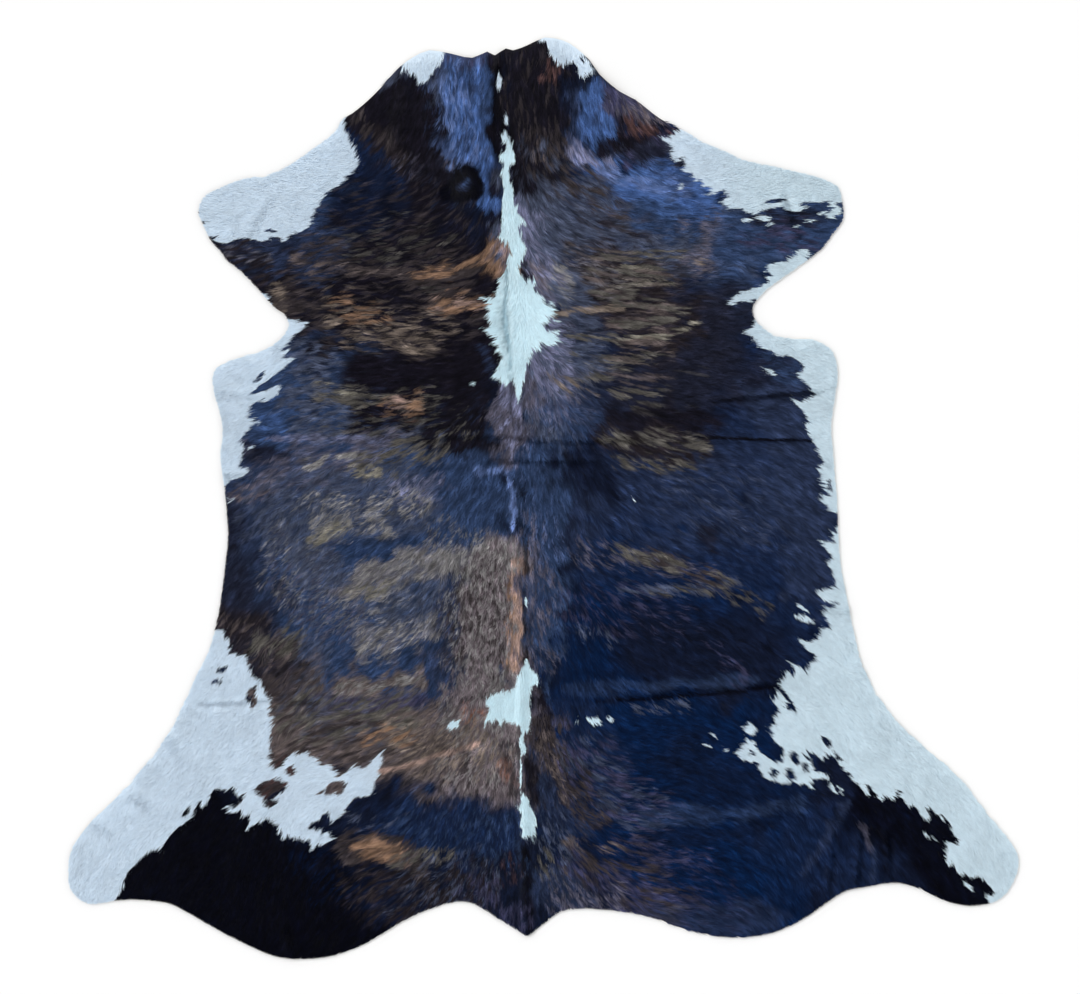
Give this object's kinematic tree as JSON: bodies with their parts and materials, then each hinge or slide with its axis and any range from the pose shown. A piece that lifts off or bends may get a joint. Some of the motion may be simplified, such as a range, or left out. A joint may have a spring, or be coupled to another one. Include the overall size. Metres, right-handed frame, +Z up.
{
  "type": "cowhide rug",
  "caption": "Whole hair-on cowhide laid flat as a rug, with neck, four short leg flaps, tail tip and creases from being folded.",
  "frame": {"origin": "on the floor, at the middle of the box round the hide", "axes": "+Z up from the floor through the hair side, +Y towards the neck, +X towards the right foreleg as seen from above"},
  "size_m": [2.088, 2.0264, 0.019],
  "materials": {
    "hair_on_hide": "tanned hide with its short hair left on, near-black and dark brown with white patches, silky sheen"
  },
  "bodies": {
    "root": {"hide": "hair_on_hide"}
  },
  "joints": []
}
